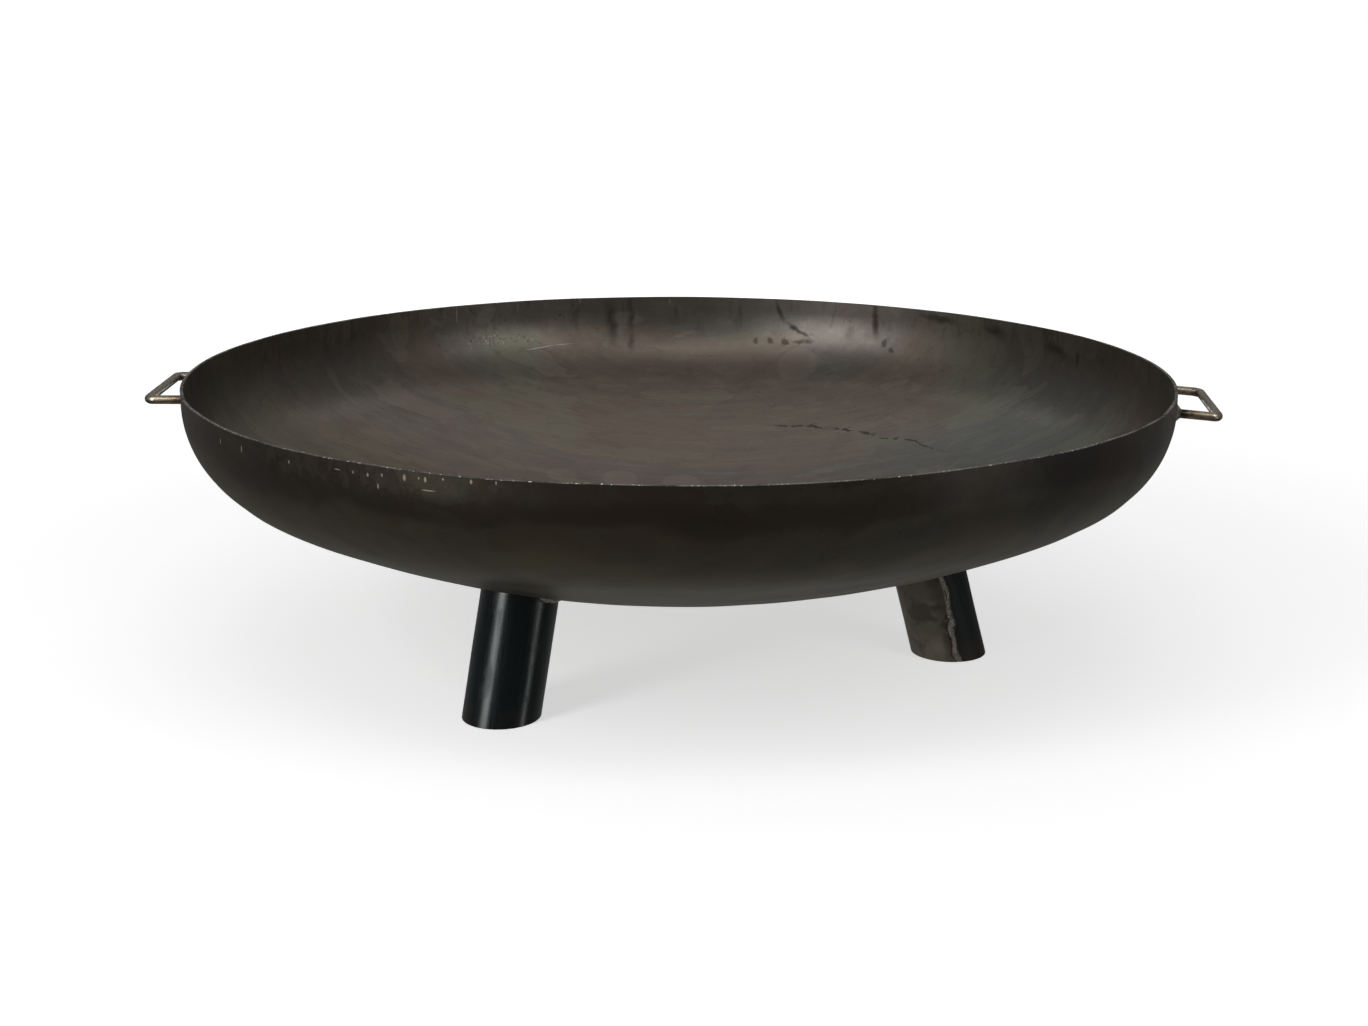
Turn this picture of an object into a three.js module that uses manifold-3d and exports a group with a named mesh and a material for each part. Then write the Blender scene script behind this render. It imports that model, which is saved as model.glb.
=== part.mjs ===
// A steel fire bowl: a dished end on three tube legs, with a bent bar handle on each side.
// Millimetres, +Z up. The origin is on the ground, under the middle of the bowl.
// The handles lie along X, and the front is -Y.
import * as THREE from 'three';
import { mergeVertices } from 'three/addons/utils/BufferGeometryUtils.js';
import Module from 'manifold-3d';

const wasm = await Module();
wasm.setup();

// The bowl is a torispherical dished end: a shallow crown, a knuckle and a short straight flange.
const BOWL_DIAMETER = 1000;
const SHEET_THICKNESS = 3;
const FLANGE_HEIGHT = 15;
const CROWN_RADIUS = BOWL_DIAMETER;
const KNUCKLE_RADIUS = BOWL_DIAMETER / 10;
const GROUND_CLEARANCE = 85;

// Each leg is a tube set square to the crown and cut level with the ground.
const LEG_COUNT = 3;
const LEG_DIAMETER = 75;
const LEG_WALL = 3;
const FOOT_CIRCLE_RADIUS = 285;
const FIRST_LEG_ANGLE = degrees(-3.4);

// Each handle is a round bar bent to a U. Set by hand, neither is quite square or level.
const BAR_DIAMETER = 9;
const GRIP_LENGTH = 128;
const HANDLE_REACH = 41;
const BEND_RADIUS = 8;
const HANDLE_BELOW_RIM = 26;
const HANDLES = [
  { name: 'left', side: degrees(180), skew: degrees(3.3), droop: 0, rootWeld: 3 },
  { name: 'right', side: 0, skew: degrees(-2.6), droop: degrees(4.7), rootWeld: 5 },
];

// Fillet welds: two stitches on each leg, and a ring at each root of a handle.
const STITCH_SIZE = 6.5;
const STITCH_ARC = degrees(42);
const STITCH_ANGLES = [degrees(88), degrees(155)];

// Welded pieces stand this far apart, so that they stay separate solids.
const GAP = 0.3;

// Vertices closer than this are one vertex.
const MERGE_DISTANCE = 1e-4;

// How finely the round shapes are divided.
const BOWL_SEGMENTS = 72;
const CROWN_STEPS = 6;
const KNUCKLE_STEPS = 7;
const TUBE_SEGMENTS = 40;
const BAR_SEGMENTS = 12;
const BEND_STEPS = 5;
const STITCH_STEPS = 8;

const rimRadius = BOWL_DIAMETER / 2;
const knuckleCentreRadius = rimRadius - KNUCKLE_RADIUS;
const crownAngle = Math.asin(knuckleCentreRadius / (CROWN_RADIUS - KNUCKLE_RADIUS));
const crownCentreHeight = GROUND_CLEARANCE + CROWN_RADIUS;
const knuckleCentreHeight = crownCentreHeight - (CROWN_RADIUS - KNUCKLE_RADIUS) * Math.cos(crownAngle);
const rimHeight = knuckleCentreHeight + FLANGE_HEIGHT;
const handleHeight = rimHeight - HANDLE_BELOW_RIM;
const legRadius = LEG_DIAMETER / 2;
const legTilt = Math.atan(FOOT_CIRCLE_RADIUS / crownCentreHeight);
const barRadius = BAR_DIAMETER / 2;
const legNames = ['right', 'rear_left', 'front_left'];

const bowlSteel = steel(0x3b3833, 0.55);
const legSteel = steel(0x25282b, 0.4);
const handleSteel = steel(0x6e6257, 0.4);
const weldSteel = steel(0x4b4843, 0.6);

function degrees(value) {
  return THREE.MathUtils.degToRad(value);
}

function steel(color, roughness) {
  return new THREE.MeshStandardMaterial({ color, roughness, metalness: 0.9 });
}

// The bowl's surface from its lowest point to the rim, moved outward by `offset`.
function bowlProfile(offset) {
  const points = [];
  for (let i = 0; i < CROWN_STEPS; i += 1) {
    const angle = (crownAngle * i) / CROWN_STEPS;
    points.push(arcPoint(0, crownCentreHeight, CROWN_RADIUS + offset, angle));
  }
  for (let i = 0; i <= KNUCKLE_STEPS; i += 1) {
    const angle = crownAngle + ((Math.PI / 2 - crownAngle) * i) / KNUCKLE_STEPS;
    points.push(arcPoint(knuckleCentreRadius, knuckleCentreHeight, KNUCKLE_RADIUS + offset, angle));
  }
  points.push(new THREE.Vector2(rimRadius + offset, rimHeight));
  return points;
}

// A point on an arc, with the angle counted from straight down.
function arcPoint(centreRadius, centreHeight, radius, angle) {
  const x = centreRadius + radius * Math.sin(angle);
  return new THREE.Vector2(x, centreHeight - radius * Math.cos(angle));
}

// Turns a profile of radius and height about Z. It ends on the axis or closes on itself.
function turned(points, segments) {
  return new THREE.LatheGeometry(points, segments).rotateX(Math.PI / 2);
}

function bowlShell() {
  const outside = bowlProfile(0);
  const inside = bowlProfile(-SHEET_THICKNESS).reverse();
  return turned([...outside, ...inside], BOWL_SEGMENTS);
}

// The bowl as a filled solid, grown by the gap. It trims whatever meets the wall.
function bowlTrim() {
  return turned([...bowlProfile(GAP), new THREE.Vector2(0, rimHeight)], BOWL_SEGMENTS);
}

// The room between the ground and the crown. It trims the legs and their welds.
function spaceUnderBowl() {
  const crown = bowlProfile(GAP).slice(0, CROWN_STEPS).reverse();
  const edge = new THREE.Vector2(crown[0].x, 0);
  return turned([new THREE.Vector2(0, 0), edge, ...crown], BOWL_SEGMENTS);
}

// A tube along Z. A hole radius of 0 makes a solid bar.
function tube(radius, holeRadius, bottom, top, segments) {
  const corners = [[holeRadius, bottom], [radius, bottom], [radius, top], [holeRadius, top]];
  const points = corners.map(([x, z]) => new THREE.Vector2(x, z));
  if (holeRadius > 0) {
    points.push(points[0].clone());
  }
  return turned(points, segments);
}

// A curve given by stations, each with its place and direction.
class StationCurve extends THREE.Curve {
  constructor(stations) {
    super();
    this.stations = stations;
  }

  station(t) {
    return this.stations[Math.round(t * (this.stations.length - 1))];
  }

  getPointAt(t) {
    return this.station(t).point.clone();
  }

  getTangentAt(t) {
    return this.station(t).direction.clone();
  }
}

function roundBarAlong(stations, radius, segments) {
  const section = new THREE.Shape();
  for (let i = 0; i < segments; i += 1) {
    const angle = (2 * Math.PI * i) / segments;
    const x = radius * Math.cos(angle);
    const y = radius * Math.sin(angle);
    if (i === 0) {
      section.moveTo(x, y);
    } else {
      section.lineTo(x, y);
    }
  }
  const extrudePath = new StationCurve(stations);
  return new THREE.ExtrudeGeometry(section, { steps: stations.length - 1, extrudePath });
}

// Stations round an arc in the XY plane, going anticlockwise.
function arcStations(centre, radius, start, sweep, steps) {
  const stations = [];
  for (let i = 0; i <= steps; i += 1) {
    const angle = start + (sweep * i) / steps;
    const outward = new THREE.Vector3(Math.cos(angle), Math.sin(angle), 0);
    const direction = new THREE.Vector3(-outward.y, outward.x, 0);
    stations.push({ point: outward.multiplyScalar(radius).add(centre), direction });
  }
  return stations;
}

// The handle's centreline. X points away from the wall, and the arms start inside it.
function handleStations() {
  const rootDepth = 14;
  const half = GRIP_LENGTH / 2;
  const bendX = HANDLE_REACH - BEND_RADIUS;
  const front = new THREE.Vector3(bendX, BEND_RADIUS - half, 0);
  const rear = new THREE.Vector3(bendX, half - BEND_RADIUS, 0);
  const outward = new THREE.Vector3(1, 0, 0);
  const quarter = Math.PI / 2;
  return [
    { point: new THREE.Vector3(-rootDepth, -half, 0), direction: outward },
    ...arcStations(front, BEND_RADIUS, -quarter, quarter, BEND_STEPS),
    ...arcStations(rear, BEND_RADIUS, 0, quarter, BEND_STEPS),
    { point: new THREE.Vector3(-rootDepth, half, 0), direction: outward.clone().negate() },
  ];
}

// A cone of weld metal round one arm of a handle, from inside the wall outward.
function rootWeld(armY, skew, size) {
  const inside = barRadius + GAP;
  const wallCurve = Math.sqrt(rimRadius ** 2 - armY ** 2) - rimRadius;
  const wallX = wallCurve + armY * Math.sin(skew);
  const depthInWall = 8;
  const thinEnd = 0.5;
  const corners = [
    [inside, wallX - depthInWall], [barRadius + size, wallX - depthInWall], [barRadius + size, wallX],
    [inside + thinEnd, wallX + size], [inside, wallX + size], [inside, wallX - depthInWall],
  ];
  const points = corners.map(([radius, x]) => new THREE.Vector2(radius, x));
  return turned(points, BAR_SEGMENTS).rotateY(Math.PI / 2).translate(0, armY, 0);
}

// Puts a shape made at the wall, with X outward, where its handle is.
function placeAtHandle(geometry, handle) {
  geometry.rotateY(handle.droop).rotateZ(handle.skew);
  return geometry.translate(rimRadius, 0, handleHeight).rotateZ(handle.side);
}

// Puts a shape made on a leg's own axis, with X outward, where leg number `index` is.
function placeAtLeg(geometry, index) {
  const angle = FIRST_LEG_ANGLE + (2 * Math.PI * index) / LEG_COUNT;
  return geometry.rotateY(-legTilt).translate(FOOT_CIRCLE_RADIUS, 0, 0).rotateZ(angle);
}

// Distance along a leg's axis from the ground to the circle where the tube meets the crown.
function legLength() {
  const groundToCentre = Math.hypot(FOOT_CIRCLE_RADIUS, crownCentreHeight);
  return groundToCentre - Math.sqrt(CROWN_RADIUS ** 2 - legRadius ** 2);
}

function legTube(radius, holeRadius) {
  const spare = 25;
  return tube(radius, holeRadius, -spare, legLength() + spare, TUBE_SEGMENTS);
}

function stitch(angle) {
  const centre = new THREE.Vector3(0, 0, legLength());
  const stations = arcStations(centre, legRadius, angle - STITCH_ARC / 2, STITCH_ARC, STITCH_STEPS);
  return roundBarAlong(stations, STITCH_SIZE, BAR_SEGMENTS);
}

// A closed three.js geometry as a manifold-3d solid.
function solid(geometry) {
  const bare = geometry.clone();
  bare.deleteAttribute('normal');
  bare.deleteAttribute('uv');
  const merged = mergeVertices(bare, MERGE_DISTANCE);
  const triangles = [];
  for (let i = 0; i < merged.index.count; i += 3) {
    const [a, b, c] = [0, 1, 2].map((corner) => merged.index.getX(i + corner));
    if (a !== b && b !== c && c !== a) {
      triangles.push(a, b, c);
    }
  }
  const vertProperties = new Float32Array(merged.attributes.position.array);
  const triVerts = new Uint32Array(triangles);
  return new wasm.Manifold(new wasm.Mesh({ numProp: 3, vertProperties, triVerts }));
}

// A named mesh of a solid, with a material.
function piece(name, body, material) {
  const { vertProperties, triVerts } = body.getMesh();
  const geometry = new THREE.BufferGeometry();
  geometry.setAttribute('position', new THREE.BufferAttribute(vertProperties, 3));
  geometry.setIndex(new THREE.BufferAttribute(triVerts, 1));
  geometry.computeVertexNormals();
  const mesh = new THREE.Mesh(geometry, material);
  mesh.name = name;
  return mesh;
}

function makeLeg(index, underBowl) {
  const pieces = new THREE.Group();
  const name = legNames[index];
  const leg = solid(placeAtLeg(legTube(legRadius, legRadius - LEG_WALL), index));
  pieces.add(piece(`leg_${name}`, leg.intersect(underBowl), legSteel));
  const legTrim = solid(placeAtLeg(legTube(legRadius + GAP, 0), index));
  STITCH_ANGLES.forEach((angle, number) => {
    const bead = solid(placeAtLeg(stitch(angle), index));
    const trimmed = bead.intersect(underBowl).subtract(legTrim);
    pieces.add(piece(`weld_leg_${name}_${number + 1}`, trimmed, weldSteel));
  });
  return pieces;
}

function makeHandle(handle, bowlSolid) {
  const pieces = new THREE.Group();
  const bar = solid(placeAtHandle(roundBarAlong(handleStations(), barRadius, BAR_SEGMENTS), handle));
  pieces.add(piece(`handle_${handle.name}`, bar.subtract(bowlSolid), handleSteel));
  for (const armY of [-GRIP_LENGTH / 2, GRIP_LENGTH / 2]) {
    const place = armY * Math.cos(handle.side) < 0 ? 'front' : 'rear';
    const weld = solid(placeAtHandle(rootWeld(armY, handle.skew, handle.rootWeld), handle));
    pieces.add(piece(`weld_handle_${handle.name}_${place}`, weld.subtract(bowlSolid), weldSteel));
  }
  return pieces;
}

const fireBowl = new THREE.Group();
fireBowl.add(piece('bowl', solid(bowlShell()), bowlSteel));

const underBowl = solid(spaceUnderBowl());
for (let index = 0; index < LEG_COUNT; index += 1) {
  fireBowl.add(makeLeg(index, underBowl));
}

const bowlSolid = solid(bowlTrim());
for (const handle of HANDLES) {
  fireBowl.add(makeHandle(handle, bowlSolid));
}

export default fireBowl;
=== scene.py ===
"""A fire bowl of raw steel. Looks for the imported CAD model, in metres, with the CAD model's axes."""

import math

import bpy
import numpy as np
from mathutils import Euler, Matrix, Vector


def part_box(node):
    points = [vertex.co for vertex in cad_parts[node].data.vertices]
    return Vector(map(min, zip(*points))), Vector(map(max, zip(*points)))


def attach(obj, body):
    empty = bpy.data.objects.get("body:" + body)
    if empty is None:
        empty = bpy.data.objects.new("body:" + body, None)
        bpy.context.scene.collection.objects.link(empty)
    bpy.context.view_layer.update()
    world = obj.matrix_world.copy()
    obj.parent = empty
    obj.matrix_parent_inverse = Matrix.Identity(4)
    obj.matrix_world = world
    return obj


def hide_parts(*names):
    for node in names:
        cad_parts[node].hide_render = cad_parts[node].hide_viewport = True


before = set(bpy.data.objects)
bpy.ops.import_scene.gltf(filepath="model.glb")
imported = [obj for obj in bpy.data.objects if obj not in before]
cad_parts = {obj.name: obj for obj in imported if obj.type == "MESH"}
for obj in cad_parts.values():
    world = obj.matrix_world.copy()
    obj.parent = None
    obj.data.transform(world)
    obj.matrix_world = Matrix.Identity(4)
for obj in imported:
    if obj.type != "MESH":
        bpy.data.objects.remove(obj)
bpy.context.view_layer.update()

# The bowl's own dimensions. Its radius and heights come from the CAD model's bowl.
SHEET = 0.003
FLANGE = 0.015
CROWN_PER_RADIUS = 2.0
KNUCKLE_PER_RADIUS = 0.2
RIM_BEVEL = 0.0004
BOWL_SEGMENTS = 480
CROWN_STEPS = 64
KNUCKLE_STEPS = 36
PRESSED_ABOUT = (0, 0, 0.62)
OUTSIDE, INSIDE, CUT_EDGE = 0, 1, 2

# The legs.
LEG_RADIUS = 0.0375
LEG_WALL = 0.003
FOOT_CIRCLE = 0.285
FIRST_LEG_ANGLE = math.radians(-3.4)
LEG_NAMES = ("right", "rear_left", "front_left")
LEG_EDGE = 0.0004
LEG_SEGMENTS = 128
LEG_RINGS = 40
WELD_GAP = 0.0003

# The handles.
BAR_RADIUS = 0.0045
GRIP_LENGTH = 0.128
REACH = 0.041
BEND_RADIUS = 0.008
BELOW_RIM = 0.026
ROOT_GAP = 0.0005
HANDLE_SEEDS = {"left": 60, "right": 61}
HANDLES = {
    "left": {"side": math.pi, "skew": math.radians(3.3), "droop": 0.0, "weld": 0.003},
    "right": {"side": 0.0, "skew": math.radians(-2.6), "droop": math.radians(4.7), "weld": 0.005},
}

# The welds on the legs: angles round the leg's axis, counted from its outward side.
STITCHES = (math.radians(88), math.radians(155))
STITCH_ARC = math.radians(42)
STITCH_SIZE = 0.0067
STITCH_SEED = 40
ROOT_WELD_SEED = 70
INTO_BAR = 0.0003
INTO_WALL = 0.0006
SUNK = 0.0008

# The studio, in radiance where the floor's white is 1.
FLOOR_RADIUS = 40.0
FLOOR_GLOW = 0.60
GLOW_START = 0.4
GLOW_END = 3.0
ROOM_FRONT = 0.07
ROOM_BACK = 0.22
ROOM_BACK_LOW = 0.15
ROOM_TOP = 0.18
ROOM_FLOOR = 0.32
AIM = Vector((0, 0, 0.2))

# Each softbox: azimuth and elevation in degrees, distance, width, height, radiance.
SOFTBOXES = {
    "left_softbox": (-133, 20, 2.8, 0.8, 2.3, 6.0),
    "front_softbox": (-92, 56, 2.8, 1.9, 0.7, 2.2),
    "right_softbox": (-36, 31, 2.8, 0.9, 1.3, 3.0),
    "right_strip": (-25, -9, 3.0, 0.35, 1.4, 3.0),
    "overhead_softbox": (90, 50, 2.2, 1.7, 1.1, 0.62),
    "rear_softbox": (90, -2, 3.0, 1.2, 0.5, 3.0),
}

# The photographer's camera.
CAMERA_PLACE = (0.110, -2.029, 0.674)
CAMERA_LENS = 52.68
CAMERA_DOWN = math.radians(14.71)
CAMERA_HEADING = math.radians(2.965)
CAMERA_ROLL = math.radians(0.18)

bowl_low, bowl_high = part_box("bowl")
RIM_RADIUS = bowl_high.x
RIM_HEIGHT = bowl_high.z
CROWN_RADIUS = RIM_RADIUS * CROWN_PER_RADIUS
KNUCKLE_RADIUS = RIM_RADIUS * KNUCKLE_PER_RADIUS
KNUCKLE_CENTRE = RIM_RADIUS - KNUCKLE_RADIUS
CROWN_ANGLE = math.asin(KNUCKLE_CENTRE / (CROWN_RADIUS - KNUCKLE_RADIUS))
CROWN_CENTRE_HEIGHT = bowl_low.z + CROWN_RADIUS
KNUCKLE_HEIGHT = RIM_HEIGHT - FLANGE
LEG_TILT = math.atan(FOOT_CIRCLE / CROWN_CENTRE_HEIGHT)
LEG_LENGTH = math.hypot(FOOT_CIRCLE, CROWN_CENTRE_HEIGHT) - math.sqrt(CROWN_RADIUS**2 - LEG_RADIUS**2)


# ---------------------------------------------------------------- mesh helpers


def add_piece(name, points, faces, materials, node, face_material=None, sharp=35):
    """One closed mesh that rides on the body, stands for a CAD node and has a finish."""
    mesh = bpy.data.meshes.new(name)
    mesh.from_pydata([tuple(p) for p in points], [], faces)
    for material in materials:
        mesh.materials.append(material)
    if face_material is not None:
        mesh.polygons.foreach_set("material_index", face_material)
    mesh.polygons.foreach_set("use_smooth", [True] * len(mesh.polygons))
    mesh.set_sharp_from_angle(angle=math.radians(sharp))
    mesh.validate()
    mesh.update()
    piece = bpy.data.objects.new(name, mesh)
    bpy.context.scene.collection.objects.link(piece)
    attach(piece, "root")
    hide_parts(node)
    return piece


def grid_faces(rows, columns, close_rows=False, close_columns=True):
    """Quads between neighbouring rows of points, numbered row by row."""
    faces = []
    for i in range(rows if close_rows else rows - 1):
        low = i * columns
        high = ((i + 1) % rows) * columns
        for j in range(columns if close_columns else columns - 1):
            k = (j + 1) % columns
            faces.append((low + j, low + k, high + k, high + j))
    return faces


def sines(seed, count, shortest, longest, height):
    """A smooth uneven height over space: a sum of sine waves in seeded directions."""
    random = np.random.default_rng(seed)
    directions = random.normal(size=(count, 3))
    directions /= np.linalg.norm(directions, axis=1)[:, None]
    lengths = np.exp(random.uniform(math.log(shortest), math.log(longest), count))
    waves = directions * (2 * math.pi / lengths)[:, None]
    phases = random.uniform(0, 2 * math.pi, count)
    share = height * lengths / lengths.max() / math.sqrt(count)

    def at(points):
        return (np.sin(points @ waves.T + phases) * share).sum(axis=1)

    return at


# ---------------------------------------------------------------- the bowl


def arc_point(centre_radius, centre_height, radius, angle):
    """A profile point on an arc, with the angle counted from straight down."""
    return (
        centre_radius + radius * math.sin(angle),
        centre_height - radius * math.cos(angle),
    )


def bowl_profile(offset):
    """Radius and height from near the middle up to the flange, moved outward by offset."""
    points = []
    for i in range(1, CROWN_STEPS):
        angle = CROWN_ANGLE * i / CROWN_STEPS
        points.append(arc_point(0, CROWN_CENTRE_HEIGHT, CROWN_RADIUS + offset, angle))
    for i in range(KNUCKLE_STEPS + 1):
        angle = CROWN_ANGLE + (math.pi / 2 - CROWN_ANGLE) * i / KNUCKLE_STEPS
        points.append(arc_point(KNUCKLE_CENTRE, KNUCKLE_HEIGHT, KNUCKLE_RADIUS + offset, angle))
    return points


def rim_profile():
    """Radius and height over the rim, from outside to inside, with both corners of the cut broken."""
    outer, inner = RIM_RADIUS, RIM_RADIUS - SHEET
    return [
        (outer, RIM_HEIGHT - FLANGE / 2),
        (outer, RIM_HEIGHT - RIM_BEVEL),
        (outer - RIM_BEVEL, RIM_HEIGHT),
        (inner + RIM_BEVEL, RIM_HEIGHT),
        (inner, RIM_HEIGHT - RIM_BEVEL),
        (inner, RIM_HEIGHT - FLANGE / 2),
    ]


def revolved(profile):
    """A profile turned about the Z axis: a row of points for each of its own."""
    turn = np.tile(np.arange(BOWL_SEGMENTS) * 2 * math.pi / BOWL_SEGMENTS, len(profile))
    radius = np.repeat(profile[:, 0], BOWL_SEGMENTS)
    height = np.repeat(profile[:, 1], BOWL_SEGMENTS)
    return np.column_stack((radius * np.cos(turn), radius * np.sin(turn), height))


def unevenness(middle):
    """How far pressing moved the sheet, taken on the middle of its thickness so that it keeps it."""
    points = revolved(middle)
    wobble = sines(5, count=14, shortest=0.12, longest=0.45, height=0.0011)(points)
    dents = sines(8, count=30, shortest=0.03, longest=0.09, height=0.00022)(points)
    toward_rim = (np.repeat(middle[:, 0], BOWL_SEGMENTS) / RIM_RADIUS) ** 2
    push = wobble * (0.35 + 0.65 * toward_rim) + dents
    away = points - PRESSED_ABOUT
    away /= np.linalg.norm(away, axis=1)[:, None]
    moved = away * push[:, None]
    on_flange = points[:, 2] > RIM_HEIGHT - FLANGE
    moved[:, 2] += sines(11, count=8, shortest=0.10, longest=0.5, height=0.0004)(points) * on_flange
    return moved


def make_bowl(outside, inside, cut_edge):
    """The pressed dish: even sheet, slightly wavy as pressing leaves it, with a bare cut edge."""
    outer, rim, inner = bowl_profile(0), rim_profile(), bowl_profile(-SHEET)[::-1]
    profile = np.array(outer + rim + inner)
    middle = profile.copy()
    half_way = bowl_profile(-SHEET / 2)
    middle[: len(outer)] = half_way
    middle[-len(inner) :] = half_way[::-1]
    middle[len(outer) : len(outer) + len(rim), 0] = RIM_RADIUS - SHEET / 2
    points = revolved(profile) + unevenness(middle)

    faces = grid_faces(len(profile), BOWL_SEGMENTS)
    edge_start = (len(outer) + 1) * BOWL_SEGMENTS
    edge_end = (len(outer) + 4) * BOWL_SEGMENTS
    finish = [OUTSIDE] * edge_start
    finish += [CUT_EDGE] * (edge_end - edge_start)
    finish += [INSIDE] * (len(faces) - edge_end)

    # A fan of triangles closes the middle of each face of the sheet.
    below, above = len(points), len(points) + 1
    points = np.vstack((points, [[0, 0, bowl_low.z], [0, 0, bowl_low.z + SHEET]]))
    last_row = (len(profile) - 1) * BOWL_SEGMENTS
    for j in range(BOWL_SEGMENTS):
        k = (j + 1) % BOWL_SEGMENTS
        faces.append((below, k, j))
        faces.append((above, last_row + j, last_row + k))
        finish += [OUTSIDE, INSIDE]
    skins = [outside, inside, cut_edge]
    add_piece("fire_bowl_dish", points, faces, skins, "bowl", finish)


# ---------------------------------------------------------------- the legs


def leg_matrix(index):
    """From a leg's own axes (Z up the tube, X outward, origin on the ground) to the object's."""
    angle = FIRST_LEG_ANGLE + 2 * math.pi * index / len(LEG_NAMES)
    turn = Matrix.Rotation(angle, 4, "Z")
    return turn @ Matrix.Translation((FOOT_CIRCLE, 0, 0)) @ Matrix.Rotation(-LEG_TILT, 4, "Y")


def transformed(points, matrix):
    """Points as an array, after a 4x4 matrix."""
    m = np.array(matrix)
    return np.asarray(points) @ m[:3, :3].T + m[:3, 3]


def make_leg(index, skin):
    """A tube: its foot is cut level, its top is square to the dish, and both cut edges are broken."""
    angles = np.arange(LEG_SEGMENTS) * 2 * math.pi / LEG_SEGMENTS
    outer, inner = LEG_RADIUS, LEG_RADIUS - LEG_WALL
    top = LEG_LENGTH - WELD_GAP
    slope = math.tan(LEG_TILT)
    rows = []

    def row(radius, share, lift):
        # share runs from the level foot at 0, slanted in the leg's own axes, to the square top at 1
        foot = lift / math.cos(LEG_TILT) - radius * np.cos(angles) * slope
        height = foot * (1 - share) + top * share
        rows.append(np.column_stack((radius * np.cos(angles), radius * np.sin(angles), height)))

    for i in range(LEG_RINGS + 1):
        row(outer, i / LEG_RINGS, LEG_EDGE)
    rows[-1][:, 2] -= LEG_EDGE
    row(outer - LEG_EDGE, 1, 0)
    row(inner + LEG_EDGE, 1, 0)
    for i in range(LEG_RINGS, -1, -1):
        row(inner, i / LEG_RINGS, LEG_EDGE)
    rows[LEG_RINGS + 3][:, 2] -= LEG_EDGE
    row(inner + LEG_EDGE, 0, 0)
    row(outer - LEG_EDGE, 0, 0)
    points = np.vstack(rows)
    dents = sines(21 + index, count=10, shortest=0.03, longest=0.12, height=0.00022)(points)
    points[:, :2] *= (1 + dents / LEG_RADIUS)[:, None]
    faces = grid_faces(len(rows), LEG_SEGMENTS, close_rows=True)
    points = transformed(points, leg_matrix(index))
    name = LEG_NAMES[index]
    add_piece(f"tube_leg_{name}", points, faces, [skin], f"leg_{name}")


# ---------------------------------------------------------------- welds on the legs


def make_stitch(index, number, skin):
    """A hand-laid fillet: overlapping ripples along the corner between tube and dish."""
    steps, around = 96, 24
    start = STITCHES[number] - STITCH_ARC / 2
    random = np.random.default_rng(STITCH_SEED + 2 * index + number)
    shift = random.uniform(0, 1)
    rows = []
    for i in range(steps + 1):
        share = i / steps
        angle = start + STITCH_ARC * share
        end = math.sqrt(max(0.0, 1 - abs(2 * share - 1) ** 6))
        ripple = ((share * 11 + shift) % 1) ** 0.6
        size = STITCH_SIZE * (0.12 + 0.88 * end) * (0.93 + 0.09 * ripple)
        sway = 0.0005 * math.sin(17 * share + 5 * shift)
        ring = []
        for j in range(around):
            turn = 2 * math.pi * j / around
            # a flattened drop: full against the corner, slightly hollow between its two toes
            reach = size * (0.80 + 0.20 * abs(math.cos(turn - math.pi / 4)) ** 0.5)
            out = LEG_RADIUS + reach * math.cos(turn) * 0.95
            up = LEG_LENGTH + sway - reach * math.sin(turn) * 0.98
            # sunk a little into the tube's wall and into the dish
            inner = LEG_RADIUS - SUNK
            out = max(out, inner + 0.06 * (out - inner))
            upper = LEG_LENGTH + SUNK - (out - LEG_RADIUS) * 0.02
            up = min(up, upper + 0.06 * (up - upper))
            ring.append((out * math.cos(angle), out * math.sin(angle), up))
        rows.append(ring)
    points = [p for ring in rows for p in ring]
    faces = grid_faces(steps + 1, around)
    faces.append(tuple(reversed(range(around))))
    faces.append(tuple(range(steps * around, (steps + 1) * around)))
    points = transformed(points, leg_matrix(index))
    name = f"{LEG_NAMES[index]}_{number + 1}"
    add_piece(f"stitch_leg_{name}", points, faces, [skin], f"weld_leg_{name}", sharp=60)


# ---------------------------------------------------------------- handles


def handle_matrix(handle):
    """From a handle's own axes (X away from the wall, origin on the wall) to the object's."""
    place = Matrix.Translation((RIM_RADIUS, 0, RIM_HEIGHT - BELOW_RIM))
    tilt = Matrix.Rotation(handle["skew"], 4, "Z") @ Matrix.Rotation(handle["droop"], 4, "Y")
    return Matrix.Rotation(handle["side"], 4, "Z") @ place @ tilt


def wall_at(arm, skew):
    """Where the bowl's wall crosses a handle's arm, on the handle's own X axis."""
    return math.sqrt(RIM_RADIUS**2 - arm**2) - RIM_RADIUS + arm * math.sin(skew)


def handle_path(skew):
    """Stations along the bar: a point, the way it runs, and how far round a bend it is."""
    arm_steps, bend_steps, grip_steps = 25, 16, 60
    half = GRIP_LENGTH / 2
    bend = REACH - BEND_RADIUS
    roots = [wall_at(y, skew) + ROOT_GAP for y in (-half, half)]

    def quarter_bend(centre_y, start):
        for i in range(bend_steps + 1):
            angle = start + math.pi / 2 * i / bend_steps
            x = bend + BEND_RADIUS * math.cos(angle)
            y = centre_y + BEND_RADIUS * math.sin(angle)
            yield x, y, angle + math.pi / 2, math.sin(math.pi * i / bend_steps)

    stations = []
    for i in range(arm_steps):
        stations.append((roots[0] + (bend - roots[0]) * i / arm_steps, -half, 0.0, 0.0))
    stations += quarter_bend(-half + BEND_RADIUS, -math.pi / 2)
    for i in range(1, grip_steps):
        y = -half + BEND_RADIUS + (GRIP_LENGTH - 2 * BEND_RADIUS) * i / grip_steps
        stations.append((REACH, y, math.pi / 2, 0.0))
    stations += quarter_bend(half - BEND_RADIUS, 0.0)
    for i in range(1, arm_steps + 1):
        stations.append((bend + (roots[1] - bend) * i / arm_steps, half, math.pi, 0.0))
    return stations


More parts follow.
